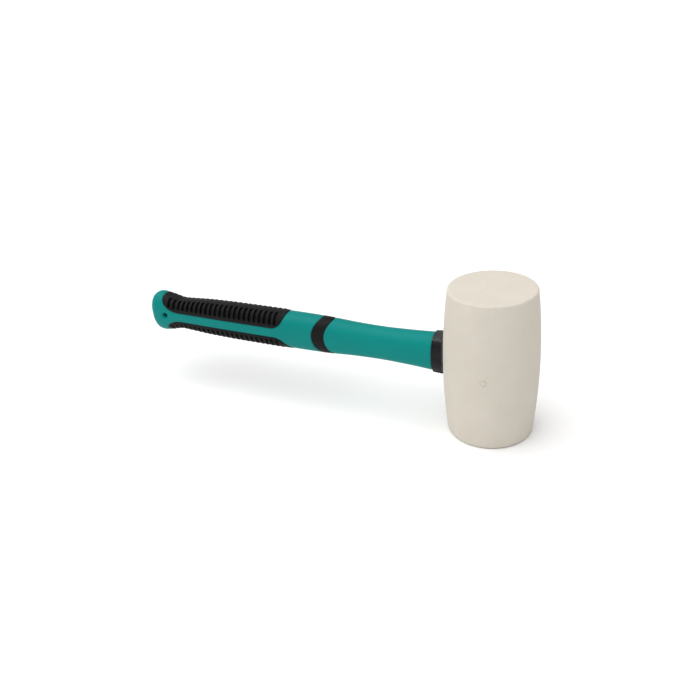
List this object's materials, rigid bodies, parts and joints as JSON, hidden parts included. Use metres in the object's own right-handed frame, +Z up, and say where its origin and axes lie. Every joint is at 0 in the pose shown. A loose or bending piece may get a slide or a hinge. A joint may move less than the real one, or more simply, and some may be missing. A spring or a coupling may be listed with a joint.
{
  "type": "rubber mallet",
  "caption": "Mallet with a cream barrel-shaped rubber head and a fibreglass-cored teal handle that has ribbed black grip panels, a black band and a hang hole.",
  "frame": {"origin": "centre of the lower striking face", "axes": "+Z up the head's axis, -X along the handle to the butt, +Y to the left of someone looking from the butt to the head"},
  "size_m": [0.3197, 0.066, 0.108],
  "materials": {
    "white_rubber": "matte moulded, faintly mottled",
    "teal_plastic": "satin moulded",
    "black_rubber": "satin moulded",
    "black_plastic": "satin moulded",
    "fibreglass": "pultruded, fine lengthwise fibres",
    "epoxy": "cured adhesive",
    "pin_steel": "plain ground"
  },
  "bodies": {
    "root": {"rubber_head": "white_rubber", "neck_collar": "black_plastic", "eye_liner": "black_plastic", "epoxy_bond": "epoxy", "fibreglass_core": "fibreglass", "retaining_pin": "pin_steel", "handle_jacket": "teal_plastic", "grip_band": "black_rubber", "upper_grip_panel": "black_rubber", "lower_grip_panel": "black_rubber"}
  },
  "joints": []
}
